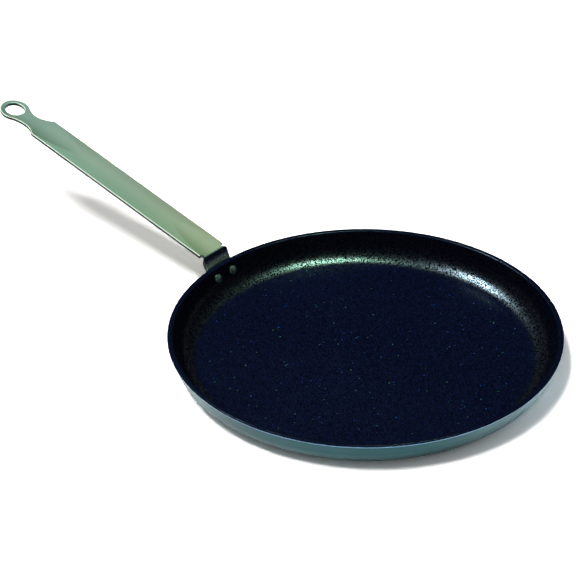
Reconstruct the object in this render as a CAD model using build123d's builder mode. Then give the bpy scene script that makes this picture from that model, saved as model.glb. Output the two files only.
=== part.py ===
from build123d import *
import os
from math import asin, cos, isclose, radians, sin, sqrt, tan

# A crepe pan: a shallow round dish of thick aluminium with a non-stick lining,
# and a steel strip handle held to the outside of its wall by two rivets.
# Lengths are in millimetres. The origin is the centre of the base, on the surface
# that the pan stands on. Z points up and the handle runs out along -X.

# Dish, measured over the lining
rim_radius = 150.0
pan_height = 26.0
wall = 4.0
wall_slope = 70.0
corner_radius = 23.0
rim_inner_round = 1.2
rim_outer_round = 0.8

# Lining
coating = 0.3
coating_lip = 1.3

# Strip handle
strip = 3.0
strip_width = 27.0
handle_slope = 14.0
leg_drop = 17.0
leg_corner = 6.0
leg_seat = 0.1
leg_blend = 3.2
bend_rise = 9.0
bend_radius = 6.5
notch_start = 4.2
notch_length = 2.6
notch_depth = 3.0
notch_round = 0.8
grip_crown = 1.0
crown_runout = 40.0
shoulder = 198.3
neck_step = 2.0
neck_ramp = 16.0
neck_ramp_round = 40.0
shoulder_round = 3.0
neck_width = 15.0
neck_radius = 23.5
eye_radius = 12.5
hanging_hole = 16.5
strip_edge_round = 0.6

# Rivets
rivet_drop = 9.0
rivet_edge = 4.5
rivet_shank = 5.0
rivet_clearance = 0.1
rivet_head = 7.0
rivet_head_height = 1.2
rivet_rim = 0.5
rivet_tail = 8.4
rivet_tail_height = 2.4
rivet_seat = 0.2

# How far a cutter runs past the surface that it cuts
overrun = 5.0

os.makedirs("parts", exist_ok=True)

slope = radians(wall_slope)
rise = radians(handle_slope)

# The rim's outer round takes a little off the wall's top corner, so the corner stands out by that
rim_corner = rim_radius + rim_outer_round * (1 / tan(slope) + 1 / sin(slope) - 1)


def wall_x(height, inset):
    """Radius of the straight wall, moved inset into the metal, at a height."""
    return rim_corner - (pan_height - height) / tan(slope) - inset / sin(slope)


def lined_surface(inset):
    """Corners of the lined surface, moved inset into the metal, from centre to lip."""
    floor = wall - inset
    top = pan_height - inset
    return [
        (0, floor),
        (wall_x(floor, floor), floor),
        (wall_x(top, floor), top),
        (wall_x(top, inset), top),
        (wall_x(pan_height - coating_lip, inset), pan_height - coating_lip),
    ]


def lined_rounds(inset):
    """Rounds at the three inner corners of the lined surface, moved inset into the metal."""
    return [
        corner_radius - wall + inset,
        rim_inner_round - inset,
        rim_outer_round - inset,
    ]


# Rivet places: a plane on the outside of the wall for each, with Z pointing out of the wall
def rivet_plane(side):
    turn = asin((strip_width / 2 - rivet_edge) / rim_radius) * side
    radius = wall_x(pan_height - rivet_drop, 0)
    height = pan_height - rivet_drop
    return Plane(
        origin=(-radius * cos(turn), radius * sin(turn), height),
        x_dir=(sin(turn), cos(turn), 0),
        z_dir=(-sin(slope) * cos(turn), sin(slope) * sin(turn), -cos(slope)),
    )


rivet_planes = {"rivet_left": rivet_plane(-1), "rivet_right": rivet_plane(1)}

# Bores for the rivets, cut through each piece that they hold together
with BuildPart() as rivet_bores:
    with BuildSketch(*rivet_planes.values()):
        Circle(rivet_shank / 2 + rivet_clearance)
    extrude(amount=wall + strip + overrun, both=True)

# Dish: one revolved section, bare metal under the lining
with BuildPart() as pan_body:
    with BuildSketch(Plane.XZ):
        with BuildLine():
            lining_seat = lined_surface(coating)
            FilletPolyline(*lining_seat, radius=lined_rounds(coating))
            lip = (wall_x(pan_height - coating_lip, 0), pan_height - coating_lip)
            Line(lining_seat[-1], lip)
            FilletPolyline(lip, (wall_x(0, 0), 0), (0, 0), radius=corner_radius)
            Line((0, 0), lining_seat[0])
        make_face()
    revolve(axis=Axis.Z)
    add(rivet_bores.part, mode=Mode.SUBTRACT)
pan_body.part.label = "pan_body"
export_step(pan_body.part, "parts/pan_body.step")

# Lining: an even skin over the floor, the wall and the rim, down to a lip outside
with BuildPart() as nonstick_coating:
    with BuildSketch(Plane.XZ):
        with BuildLine():
            face_line = lined_surface(0)
            seat_line = lined_surface(coating)
            FilletPolyline(*face_line, radius=lined_rounds(0))
            Line(face_line[-1], seat_line[-1])
            FilletPolyline(*seat_line, radius=lined_rounds(coating))
            Line(seat_line[0], face_line[0])
        make_face()
    revolve(axis=Axis.Z)
    add(rivet_bores.part, mode=Mode.SUBTRACT)
nonstick_coating.part.label = "nonstick_coating"
export_step(nonstick_coating.part, "parts/nonstick_coating.step")

# Handle directions, in the XZ plane: up along the leg, out along the grip, up from the grip
leg_up = Vector(-cos(slope), 0, sin(slope))
leg_out = Vector(-sin(slope), 0, -cos(slope))
grip_out = Vector(-cos(rise), 0, sin(rise))
grip_up = Vector(sin(rise), 0, cos(rise))

# The leg's inner face meets the rim's height at leg_top and the grip's top at bend_corner
leg_top = Vector(-wall_x(pan_height, -leg_seat), 0, pan_height)
bend_corner = leg_top + leg_up * (bend_rise / sin(slope))
leg_plane = Plane(origin=leg_top, x_dir=(0, -1, 0), z_dir=leg_out)
grip_plane = Plane(origin=bend_corner, x_dir=grip_out, z_dir=grip_up)

# Leg: a band of the wall's own outside, cut to a tab, that flattens above the rim
with BuildPart() as leg:
    with BuildSketch(Plane.XZ):
        with BuildLine():
            band_top = pan_height + overrun
            near, far = leg_seat, leg_seat + strip
            FilletPolyline(
                (0, -near),
                (wall_x(-near, -near), -near),
                (wall_x(band_top, -near), band_top),
                radius=corner_radius + near,
            )
            Line((wall_x(band_top, -near), band_top), (wall_x(band_top, -far), band_top))
            FilletPolyline(
                (wall_x(band_top, -far), band_top),
                (wall_x(-far, -far), -far),
                (0, -far),
                radius=corner_radius + far,
            )
            Line((0, -far), (0, -near))
        make_face()
    revolve(axis=Axis.Z)
    with BuildSketch(leg_plane):
        leg_length = leg_drop / sin(slope)
        with Locations((0, -leg_length / 2)):
            tab = Rectangle(strip_width, leg_length)
        fillet(tab.vertices().group_by(Axis.Y)[0], radius=leg_corner)
    extrude(amount=strip + overrun, both=True, mode=Mode.INTERSECT)
    tab_end = leg.faces().filter_by(Plane(origin=leg_top, z_dir=leg_up)).sort_by(Axis.Z)[-1]
    flat_plane = Plane(origin=leg_top + leg_up * leg_blend, x_dir=(0, -1, 0), z_dir=leg_up)
    with BuildSketch(flat_plane, mode=Mode.PRIVATE) as flat_start:
        Rectangle(strip_width, strip, align=(Align.CENTER, Align.MAX))
    loft(sections=[tab_end, flat_start.sketch.face()])
    # Round the tab's edges below the rim
    tab_edges = leg.edges().filter_by(lambda edge: edge.center().Z < pan_height - strip_edge_round)
    fillet(tab_edges.filter_by(Axis(leg_top, leg_out), reverse=True), radius=strip_edge_round)


def past_notch(edge):
    """Whether an edge of the strip lies wholly past its bend and notches."""
    return (edge.center() - bend_corner).dot(grip_out) > notch_start + strip_edge_round


def grip_point(along, level):
    """Point on the XZ plane, along the grip from the bend's corner and level above the grip's top."""
    point = bend_corner + grip_out * along + grip_up * level
    return (point.X, point.Z)


# The neck's waist is tangent to the eye, and meets the grip's edge at the shoulder
neck_centre_y = neck_width / 2 + neck_radius
half_width = strip_width / 2
waist = shoulder + sqrt(neck_radius**2 - (neck_centre_y - half_width) ** 2)
eye_centre = waist + sqrt((neck_radius + eye_radius) ** 2 - neck_centre_y**2)
eye_share = eye_radius / (neck_radius + eye_radius)
eye_joint = (eye_centre + (waist - eye_centre) * eye_share, neck_centre_y * eye_share)
tip = eye_centre + eye_radius

# Crown of the grip: a low round pad along its top that runs out at both ends
crown_start = notch_start + strip_edge_round
crown_length = shoulder - shoulder_round - crown_start
crown_width = strip_width - 2 * strip_edge_round
with BuildPart() as crown:
    crown_foot = bend_corner + grip_out * crown_start
    with BuildSketch(Plane(origin=crown_foot, x_dir=(0, -1, 0), z_dir=grip_out)):
        with BuildLine():
            chord = Line((-crown_width / 2, 0), (crown_width / 2, 0))
            SagittaArc(chord @ 0, chord @ 1, grip_crown)
        make_face()
    extrude(amount=crown_length)
    with BuildSketch(Plane.XZ):
        with BuildLine():
            Polyline(
                grip_point(crown_start, 0),
                grip_point(crown_start + crown_runout, grip_crown),
                grip_point(crown_start + crown_length - crown_runout, grip_crown),
                grip_point(crown_start + crown_length, 0),
                close=True,
            )
        make_face()
    extrude(amount=strip_width, both=True, mode=Mode.INTERSECT)

with BuildPart() as handle:
    # Side view of the strip: bend, straight grip, set down to the neck
    with BuildSketch(Plane.XZ):
        with BuildLine():
            flat_foot = leg_top + leg_up * leg_blend
            strip_top = FilletPolyline(
                (flat_foot.X, flat_foot.Z),
                grip_point(0, 0),
                grip_point(shoulder, 0),
                grip_point(shoulder + neck_ramp, -neck_step),
                grip_point(tip + overrun, -neck_step),
                radius=[bend_radius, neck_ramp_round, neck_ramp_round],
            )
            offset(strip_top, amount=strip, side=Side.LEFT)
        make_face()
    extrude(amount=half_width, both=True)
    # Plan view of the strip: a relief notch beside the bend, shoulders, waist and eye
    with BuildSketch(grip_plane) as plan:
        with BuildLine():
            before_bend = -bend_radius - overrun
            edge = Polyline(
                (eye_centre, 0),
                (before_bend, 0),
                (before_bend, half_width),
                (0, half_width),
                (notch_start - notch_length, half_width - notch_depth),
                (notch_start, half_width - notch_depth),
                (notch_start, half_width),
                (shoulder, half_width),
            )
            waist_arc = ThreePointArc(edge @ 1, (waist, neck_width / 2), eye_joint)
            Line(waist_arc @ 1, edge @ 0)
        make_face()
        mirror(about=Plane.XZ)
        with Locations((eye_centre, 0)):
            Circle(eye_radius)
            Circle(hanging_hole / 2, mode=Mode.SUBTRACT)
        corners = plan.vertices().filter_by(lambda corner: isclose(abs(corner.Y), half_width))
        fillet(corners.group_by(Axis.X)[-1], radius=shoulder_round)
        root = half_width - notch_depth
        roots = plan.vertices().filter_by(lambda corner: isclose(abs(corner.Y), root))
        fillet(roots, radius=notch_round)
    extrude(amount=bend_radius + strip + overrun, both=True, mode=Mode.INTERSECT)
    # Round the outline's edges past the notch, and the rims of the hanging hole
    outline = handle.edges().filter_by(past_notch)
    outline = outline.filter_by(Axis.Y, reverse=True).filter_by(Axis(bend_corner, grip_up), reverse=True)
    fillet(outline, radius=strip_edge_round)
    # Crown the grip, hollow below by as much as it rises above
    add(crown.part)
    with Locations(-grip_up * strip):
        add(crown.part, mode=Mode.SUBTRACT)
    add(leg.part)
    add(rivet_bores.part, mode=Mode.SUBTRACT)
handle.part.label = "handle"
export_step(handle.part, "parts/handle.step")

# Rivets: a head on the lining, a shank through the wall and the leg, and a tail outside
head_seat = -(wall + rivet_seat)
tail_seat = leg_seat + strip + rivet_seat
for name, place in rivet_planes.items():
    with BuildPart() as rivet:
        with BuildSketch(Plane(place.origin, x_dir=place.x_dir, z_dir=-place.y_dir)):
            with BuildLine():
                head_top = (0, head_seat - rivet_head_height)
                head_edge = (rivet_head / 2, head_seat - rivet_rim)
                tail_edge = (rivet_tail / 2, tail_seat + rivet_rim)
                tail_top = (0, tail_seat + rivet_tail_height)
                TangentArc(head_top, head_edge, tangent=(1, 0))
                Polyline(
                    head_edge,
                    (rivet_head / 2, head_seat),
                    (rivet_shank / 2, head_seat),
                    (rivet_shank / 2, tail_seat),
                    (rivet_tail / 2, tail_seat),
                    tail_edge,
                )
                TangentArc(tail_top, tail_edge, tangent=(1, 0))
                Line(tail_top, head_top)
            make_face()
        revolve(axis=Axis(place.origin, place.z_dir))
    rivet.part.label = name
    export_step(rivet.part, f"parts/{name}.step")
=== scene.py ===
import math
import bpy
from mathutils import Matrix, Vector


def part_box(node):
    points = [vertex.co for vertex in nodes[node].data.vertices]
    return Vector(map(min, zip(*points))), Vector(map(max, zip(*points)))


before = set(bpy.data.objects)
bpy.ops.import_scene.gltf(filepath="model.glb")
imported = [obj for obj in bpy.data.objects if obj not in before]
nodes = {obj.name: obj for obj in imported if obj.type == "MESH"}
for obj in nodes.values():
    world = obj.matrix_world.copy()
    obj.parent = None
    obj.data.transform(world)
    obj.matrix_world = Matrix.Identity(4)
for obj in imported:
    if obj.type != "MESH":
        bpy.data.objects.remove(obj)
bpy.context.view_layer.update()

liningLow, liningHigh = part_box("nonstick_coating")
handleLow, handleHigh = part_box("handle")
middleGrey = 0.5
print("frame loaded:", ", ".join(sorted(nodes)))


def greyOf(level):
    return (level, level, level, 1)


# A value in a shader. Sums on it add their own Math nodes
class Value:
    def __init__(self, wiring, socket):
        self.wiring = wiring
        self.socket = socket

    def calc(self, operation, *values):
        return self.wiring.node("ShaderNodeMath", {"operation": operation}, dict(enumerate(values)))

    def __add__(self, other):
        return self.calc("ADD", self, other)

    def __radd__(self, other):
        return self.calc("ADD", other, self)

    def __sub__(self, other):
        return self.calc("SUBTRACT", self, other)

    def __rsub__(self, other):
        return self.calc("SUBTRACT", other, self)

    def __mul__(self, other):
        return self.calc("MULTIPLY", self, other)

    def __rmul__(self, other):
        return self.calc("MULTIPLY", other, self)

    def __truediv__(self, other):
        return self.calc("DIVIDE", self, other)

    def __rtruediv__(self, other):
        return self.calc("DIVIDE", other, self)

    def __pow__(self, other):
        return self.calc("POWER", self, other)

    def __rpow__(self, other):
        return self.calc("POWER", other, self)


# A node tree, built one node at a time
class Wiring:
    def __init__(self, tree):
        self.tree = tree

    def node(self, kind, settings, sockets, output=0):
        added = self.tree.nodes.new(kind)
        for name, value in settings.items():
            setattr(added, name, value)
        for name, value in sockets.items():
            if isinstance(value, Value):
                self.tree.links.new(value.socket, added.inputs[name])
            else:
                added.inputs[name].default_value = value
        return Value(self, added.outputs[output])

    def place(self, kind="Object"):
        return self.node("ShaderNodeTexCoord", {}, {}, kind)

    def axis(self, letter, source=None):
        return self.node("ShaderNodeSeparateXYZ", {}, {0: source or self.place()}, letter)

    def along(self, direction, source=None):
        return self.node("ShaderNodeVectorMath", {"operation": "DOT_PRODUCT"},
                         {0: source or self.place(), 1: direction}, "Value")

    def mapped(self, scale, turn=0.0):
        wires = {"Vector": self.place(), "Scale": scale, "Rotation": (0, 0, turn)}
        return self.node("ShaderNodeMapping", {"vector_type": "TEXTURE"}, wires)

    def noise(self, scale, detail=2.0, roughness=0.5, source=None):
        wires = {"Vector": source or self.place(), "Scale": scale, "Detail": detail, "Roughness": roughness}
        return self.node("ShaderNodeTexNoise", {}, wires)

    def cells(self, scale, output, source=None):
        return self.node("ShaderNodeTexVoronoi", {}, {"Vector": source or self.place(), "Scale": scale}, output)

    def ramp(self, value, low, high):
        wires = {"Value": value, "From Min": low, "From Max": high}
        return self.node("ShaderNodeMapRange", {"interpolation_type": "SMOOTHSTEP"}, wires)

    def mix(self, share, first, second):
        return self.node("ShaderNodeMix", {"data_type": "RGBA"}, {0: share, 6: first, 7: second}, 2)


# A material on the Principled shader
class Finish(Wiring):
    def __init__(self, name, shared):
        self.material = bpy.data.materials.new(name)
        self.material.use_nodes = True
        super().__init__(self.material.node_tree)
        self.shader = self.tree.nodes["Principled BSDF"]
        for socket, value in shared.items():
            self.shader.inputs[socket].default_value = value

    def feed(self, socket, value):
        self.tree.links.new(value.socket, self.shader.inputs[socket])

    def bump(self, height, strength, distance):
        wires = {"Height": height, "Strength": strength, "Distance": distance}
        self.feed("Normal", self.node("ShaderNodeBump", {}, wires))

    def radius(self):
        flat = self.node("ShaderNodeVectorMath", {"operation": "MULTIPLY"}, {0: self.place(), 1: (1, 1, 0)})
        return self.node("ShaderNodeVectorMath", {"operation": "LENGTH"}, {0: flat}, "Value")


# Lining: almost black with a navy cast, a fine sparkling grain and a few flecks in blue and green; painted
# shade makes its walls darker and a painted sheen makes its rim lighter
def makeLining():
    look = {
        "dark": (0.0005, 0.0012, 0.005, 1),
        "navy": (0.0045, 0.0090, 0.038, 1),
        "wallTone": (0.0006, 0.0010, 0.004, 1),
        "rimTone": (0.0012, 0.0035, 0.014, 1),
        "blueFleck": (0.01, 0.10, 0.45, 1),
        "greenFleck": (0.04, 0.22, 0.09, 1),
        "fleckShare": 0.0015,
        "fleckHues": (0.45, 0.55),
        "cornerHeights": (0.0041, 0.0052),
        "rimHeights": (0.0246, 0.0254),
        "grainScale": 1500,
        "grainContrast": 1.5,
        "grainShare": 0.9,
        "brushStretch": (9, 1, 1),
        "brushTurn": math.radians(-49),
        "brushShare": 0.9,
        "patchScale": 9,
        "patchShare": 0.3,
        "sparkleScale": 1350,
        "sparkleRange": (0.35, 0.6),
        "floorDulling": 0.8,
        "rimDulling": 0.75,
        "peelScale": 900,
        "peelHeight": 0.0001,
        "peelStrength": 1.0,
        "gloss": 0.0,
        "roughness": 0.4,
        "roughnessSpread": 0.1,
        "skinRoughness": 0.25,
    }
    shared = {"Specular IOR Level": look["gloss"], "Coat Roughness": look["skinRoughness"]}
    finish = Finish("speckledLining", shared)
    height = finish.axis("Z")
    flat = 1 - finish.ramp(height, *look["cornerHeights"])
    rim = finish.ramp(height, *look["rimHeights"])
    patch = finish.noise(look["patchScale"], 3)
    drawn = finish.mapped(look["brushStretch"], look["brushTurn"])
    brush = finish.noise(look["grainScale"], 1, 0.5, drawn)
    cell = finish.cells(look["grainScale"], "Color")
    chance = finish.axis("X", cell)
    hue = finish.axis("Y", cell)
    tone = chance ** look["grainContrast"] * look["grainShare"] + (brush - middleGrey) * look["brushShare"]
    tone = tone + (patch - middleGrey) * look["patchShare"]
    # Painted shade: the walls and corner of the lining are coloured darker than the floor
    base = finish.mix(flat, look["wallTone"], finish.mix(tone, look["dark"], look["navy"]))
    # Painted sheen: the top of the rim is coloured a lighter navy
    base = finish.mix(rim, base, look["rimTone"])
    fleck = chance.calc("GREATER_THAN", chance, 1 - look["fleckShare"]) * flat
    flecks = finish.mix(finish.ramp(hue, *look["fleckHues"]), look["blueFleck"], look["greenFleck"])
    finish.feed("Base Color", finish.mix(fleck, base, flecks))
    spread = look["roughnessSpread"]
    finish.feed("Roughness", look["roughness"] + patch * spread + brush * spread)
    sparkle = finish.axis("Z", finish.cells(look["sparkleScale"], "Color"))
    skin = finish.ramp(sparkle, *look["sparkleRange"]) * (1 - flat * look["floorDulling"])
    finish.feed("Coat Weight", skin * (1 - rim * look["rimDulling"]))
    finish.bump(finish.noise(look["peelScale"], 2, 0.6), look["peelStrength"], look["peelHeight"])
    return finish.material


# Dish outside: satin aluminium, turned on a lathe; painted reflection makes it darker towards the front and
# back and paler at the sides; a bright line where the lining was trimmed is partly a painted highlight
def makeDishMetal():
    look = {
        "pale": (0.26, 0.44, 0.50, 1),
        "deep": (0.010, 0.064, 0.073, 1),
        "fan": (0.45, -0.893, 0),
        "bright": (0.12, 0.27, 0.47, 1),
        "fanWidth": 3.0,
        "lipDrop": 0.0013,
        "lineWidth": 0.0009,
        "lineFade": 0.6,
        "lineShine": 0.15,
        "grooveScale": 1600,
        "grooveHeight": 0.000006,
        "grooveStrength": 0.6,
        "grooveShare": 0.3,
        "cloudScale": 14,
        "cloudShare": 0.2,
        "metal": 0.85,
        "gloss": 0.3,
        "roughness": 0.3,
        "grooveRoughness": 0.12,
        "cloudRoughness": 0.08,
    }
    finish = Finish("turnedAluminium", {"Metallic": look["metal"], "Specular IOR Level": look["gloss"]})
    radius = finish.radius()
    height = finish.axis("Z")
    lip = liningHigh.z - look["lipDrop"]
    # A lighter band just under the lip: trimmed metal, partly a painted highlight
    line = finish.ramp(height, lip - look["lineWidth"], lip - look["lineWidth"] * look["lineFade"])
    turned = finish.node("ShaderNodeCombineXYZ", {}, {"X": radius, "Y": height})
    groove = finish.noise(look["grooveScale"], 2, 0.6, turned)
    cloud = finish.noise(look["cloudScale"], 4, 0.55)
    # Painted reflection: darker towards the front and back of the dish, paler at its sides
    fan = 1 - (1 - (finish.along(look["fan"]) / radius) ** 2.0) ** look["fanWidth"]
    uneven = (cloud - middleGrey) * look["cloudShare"] + (groove - middleGrey) * look["grooveShare"]
    satin = finish.mix(fan + uneven, look["pale"], look["deep"])
    finish.feed("Base Color", finish.mix(line, satin, look["bright"]))
    worn = groove * look["grooveRoughness"] + cloud * look["cloudRoughness"]
    finish.feed("Roughness", look["roughness"] + worn - line * look["lineShine"])
    finish.bump(groove, look["grooveStrength"], look["grooveHeight"])
    return finish.material


# Handle: satin steel with a grey-green cast, drawn lengthways; its colour carries painted reflection along its
# length and on the steep bend, painted shade on the low side, painted dark side faces and painted highlights on
# the rounded top edges
def makeHandleMetal():
    look = {
        "near": (0.295, 0.352, 0.207, 1),
        "middle": (0.262, 0.358, 0.257, 1),
        "far": (0.19, 0.30, 0.23, 1),
        "lowSide": (0.42, 0.52, 0.36, 1),
        "bend": (0.04, 0.05, 0.10, 1),
        "bendFoot": (0.75, 0.95, 0.80, 1),
        "sheared": (0.012, 0.02, 0.018, 1),
        "edge": (0.90, 1.0, 0.80, 1),
        "farEdge": (0.08, 0.12, 0.11, 1),
        "slope": math.radians(14),
        "gripStart": (-0.172, -0.166),
        "footHeights": (0.0275, 0.031),
        "shearedFacing": (0.1, 0.3),
        "edgeFacing": (0.85, 0.97),
        "edgeSides": (-0.2, 0.2),
        "steepFacing": (0.4, 0.75),
        "lowSideShares": (1.1, 0.3),
        "grainScale": 1400,
        "grainStretch": (18, 1, 1),
        "grainHeight": 0.000008,
        "grainStrength": 0.5,
        "grainShare": 0.1,
        "cloudScale": 30,
        "cloudShare": 0.06,
        "shade": 0.92,
        "metal": 0.08,
        "gloss": 0.25,
        "roughness": 0.36,
        "shearedRoughness": 0.1,
        "bendShine": 0.2,
    }
    finish = Finish("satinSteel", {"Specular IOR Level": look["gloss"]})
    middle = (handleLow.x + handleHigh.x) / 2
    normal = finish.place("Normal")
    upright = (math.sin(look["slope"]), 0, math.cos(look["slope"]))
    flatness = finish.along(upright, normal)
    grip = 1 - finish.ramp(finish.axis("X"), *look["gripStart"])
    facing = flatness.calc("ABSOLUTE", flatness) * grip
    facing = facing + (1 - finish.axis("Y", normal) ** 2.0) * (1 - grip)
    # Painted dark reflection on the side faces of the strip
    sheared = 1 - finish.ramp(facing, *look["shearedFacing"])
    grain = finish.noise(look["grainScale"], 2, 0.5, finish.mapped(look["grainStretch"]))
    cloud = finish.noise(look["cloudScale"], 3)
    # Painted shade: the low side of the grip is coloured darker
    lowShare, highShare = look["lowSideShares"]
    across = finish.ramp(finish.axis("Y"), handleLow.y * lowShare, handleHigh.y * highShare)
    # Painted reflection: the colour changes along the handle from its free end to the dish
    tone = finish.mix(finish.ramp(finish.axis("X"), handleLow.x, middle), look["far"], look["middle"])
    tone = finish.mix(finish.ramp(finish.axis("X"), middle, handleHigh.x), tone, look["near"])
    side = finish.mix(across, look["lowSide"], greyOf(1))
    tone = finish.node("ShaderNodeVectorMath", {"operation": "MULTIPLY"}, {0: tone, 1: side})
    uneven = grain * look["grainShare"] + cloud * look["cloudShare"]
    shade = finish.node("ShaderNodeHueSaturation", {}, {"Color": tone, "Value": look["shade"] + uneven})
    # Painted reflection on the steep part facing the dish: dark above, with a pale band at its foot
    steep = finish.ramp(finish.along((1, 0, 0), normal), *look["steepFacing"])
    bend = finish.mix(finish.ramp(finish.axis("Z"), *look["footHeights"]), look["bendFoot"], look["bend"])
    # Painted highlight on the rounded top edges of the low side, painted shade on those of the high side
    edge = 1 - finish.ramp(facing, *look["edgeFacing"])
    farSide = finish.ramp(finish.axis("Y", normal), *look["edgeSides"])
    edgeTone = finish.mix(farSide, look["edge"], look["farEdge"])
    shade = finish.mix(steep, finish.mix(edge, shade, edgeTone), bend)
    finish.feed("Base Color", finish.mix(sheared, shade, look["sheared"]))
    finish.feed("Metallic", look["metal"] + steep * (1 - look["metal"]))
    worn = look["roughness"] + uneven + sheared * look["shearedRoughness"]
    finish.feed("Roughness", worn - steep * look["bendShine"])
    finish.bump(grain, look["grainStrength"], look["grainHeight"])
    return finish.material


# Rivets: soft aluminium, dulled
def makeRivetMetal():
    look = {
        "dull": (0.20, 0.30, 0.26, 1),
        "worn": (0.80, 1.0, 0.90, 1),
        "wearScale": 700,
        "wearRange": (0.35, 0.65),
        "grainScale": 2500,
        "metal": 1.0,
        "roughness": 0.22,
        "grainRoughness": 0.15,
    }
    finish = Finish("rivetAluminium", {"Metallic": look["metal"]})
    wear = finish.ramp(finish.noise(look["wearScale"], 3), *look["wearRange"])
    finish.feed("Base Color", finish.mix(wear, look["dull"], look["worn"]))
    finish.feed("Roughness", look["roughness"] + finish.noise(look["grainScale"]) * look["grainRoughness"])
    return finish.material


finishes = {
    "pan_body": makeDishMetal(),
    "nonstick_coating": makeLining(),
    "handle": makeHandleMetal(),
    "rivet_left": makeRivetMetal(),
    "rivet_right": makeRivetMetal(),
}
for name, material in finishes.items():
    for slot in nodes[name].material_slots:
        slot.material = material
print("finishes on the pan")

# Floor and the light around the pan
stageLook = {
    "floorSize": 8.0,
    "floorGrey": 0.8,
    "floorWhite": (1.72, 1.67, 1.66, 1),
    "fill": 0.33,
    "backHorizon": 0.2,
    "backSky": 0.04,
    "frontSky": 0.03,
    "zenith": 0.1,
    "viewTurn": (-0.66, 0.75, 0),
    "behindRange": (-0.2, 0.5),
    "horizonHeights": (0.05, 0.3),
    "zenithHeights": (0.6, 0.95),
}


def makeFloor():
    bpy.ops.object.select_all(action="DESELECT")
    bpy.ops.mesh.primitive_plane_add(size=stageLook["floorSize"])
    floor = bpy.context.object
    floor.name = "floor"
    finish = Finish("paleFloor", {"Roughness": 1.0, "Specular IOR Level": 0.0})
    seen = finish.node("ShaderNodeLightPath", {}, {}, "Is Camera Ray")
    mirrored = finish.node("ShaderNodeLightPath", {}, {}, "Is Glossy Ray")
    white = seen.calc("MAXIMUM", seen, mirrored)
    finish.feed("Base Color", finish.mix(white, greyOf(stageLook["floorGrey"]), stageLook["floorWhite"]))
    floor.data.materials.append(finish.material)


def makeWorld():
    world = bpy.data.worlds.new("studio")
    bpy.context.scene.world = world
    world.use_nodes = True
    sky = Wiring(world.node_tree)
    direction = sky.place("Generated")
    height = sky.axis("Z", direction)
    behind = sky.ramp(sky.along(stageLook["viewTurn"], direction), *stageLook["behindRange"])
    low = 1 - sky.ramp(height, *stageLook["horizonHeights"])
    high = sky.ramp(height, *stageLook["zenithHeights"])
    back = low * (stageLook["backHorizon"] - stageLook["backSky"]) + stageLook["backSky"]
    glow = behind * (back - stageLook["frontSky"]) + stageLook["frontSky"]
    glow = glow + high * (stageLook["zenith"] - stageLook["backSky"])
    glossy = sky.node("ShaderNodeLightPath", {}, {}, "Is Glossy Ray")
    seen = sky.node("ShaderNodeLightPath", {}, {}, "Is Camera Ray")
    through = sky.node("ShaderNodeLightPath", {}, {}, "Is Transmission Ray")
    level = glossy * (glow - stageLook["fill"]) + stageLook["fill"]
    plain = seen.calc("MAXIMUM", seen, through)
    strength = plain * (1 - level) + level
    shader = sky.tree.nodes["Background"]
    sky.tree.links.new(strength.socket, shader.inputs["Strength"])
    shader.inputs["Color"].default_value = greyOf(1)


# Two strip lamps make the highlights on the wall of the dish, a soft sun makes the shadow
strips = {
    "rightStrip": {"direction": (-0.54, -0.03, 0.845), "across": 0.8, "along": 0.26, "power": 50,
                   "colour": (0.60, 0.86, 1.0)},
    "leftStrip": {"direction": (0.05, 0.21, 0.975), "across": 0.72, "along": 0.44, "power": 36,
                  "colour": (0.52, 1.0, 0.76)},
}
stripDistance = 1.5
softLight = {"direction": (-0.09, -0.38, 0.90), "strength": 2.25, "spread": math.radians(14)}


def addLamp(name, kind, direction, distance):
    light = bpy.data.lights.new(name, kind)
    lamp = bpy.data.objects.new(name, light)
    bpy.context.scene.collection.objects.link(lamp)
    away = Vector(direction).normalized()
    turned = away.to_track_quat("Z", "Y").to_matrix().to_4x4()
    lamp.matrix_world = Matrix.Translation(away * distance) @ turned
    return lamp


def addStrip(name, direction, across, along, power, colour):
    lamp = addLamp(name, "AREA", direction, stripDistance)
    lamp.data.shape = "ELLIPSE"
    lamp.data.size = across
    lamp.data.size_y = along
    lamp.data.energy = power
    lamp.data.color = colour
    lamp.visible_diffuse = False


def addSoftLight(direction, strength, spread):
    lamp = addLamp("softLight", "SUN", direction, stripDistance)
    lamp.data.energy = strength
    lamp.data.angle = spread
    lamp.visible_glossy = False


makeFloor()
makeWorld()
for name, settings in strips.items():
    addStrip(name, **settings)
addSoftLight(**softLight)

# Camera at the photograph's viewing angle
cameraView = {
    "azimuth": 41.213,
    "elevation": 32.029,
    "roll": -0.89,
    "distance": 1.6,
    "aim": (-0.05936, -0.02005, 0.04841),
    "lens": 131.2,
    "sensor": 36,
}


def addCamera(azimuth, elevation, roll, distance, aim, lens, sensor):
    turn, tip, lean = (math.radians(angle) for angle in (azimuth, elevation, roll))
    back = Vector((math.sin(turn) * math.cos(tip), -math.cos(turn) * math.cos(tip), math.sin(tip)))
    level = Vector((math.cos(turn), math.sin(turn), 0))
    upright = back.cross(level)
    right = level * math.cos(lean) + upright * math.sin(lean)
    up = upright * math.cos(lean) - level * math.sin(lean)
    data = bpy.data.cameras.new("photoView")
    data.lens = lens
    data.sensor_width = sensor
    camera = bpy.data.objects.new("photoView", data)
    bpy.context.scene.collection.objects.link(camera)
    turned = Matrix((right, up, back)).transposed().to_4x4()
    camera.matrix_world = Matrix.Translation(Vector(aim) + back * distance) @ turned
    bpy.context.scene.camera = camera


addCamera(**cameraView)
bpy.context.scene.view_settings.view_transform = "Standard"
print("stage, lamps and camera set")
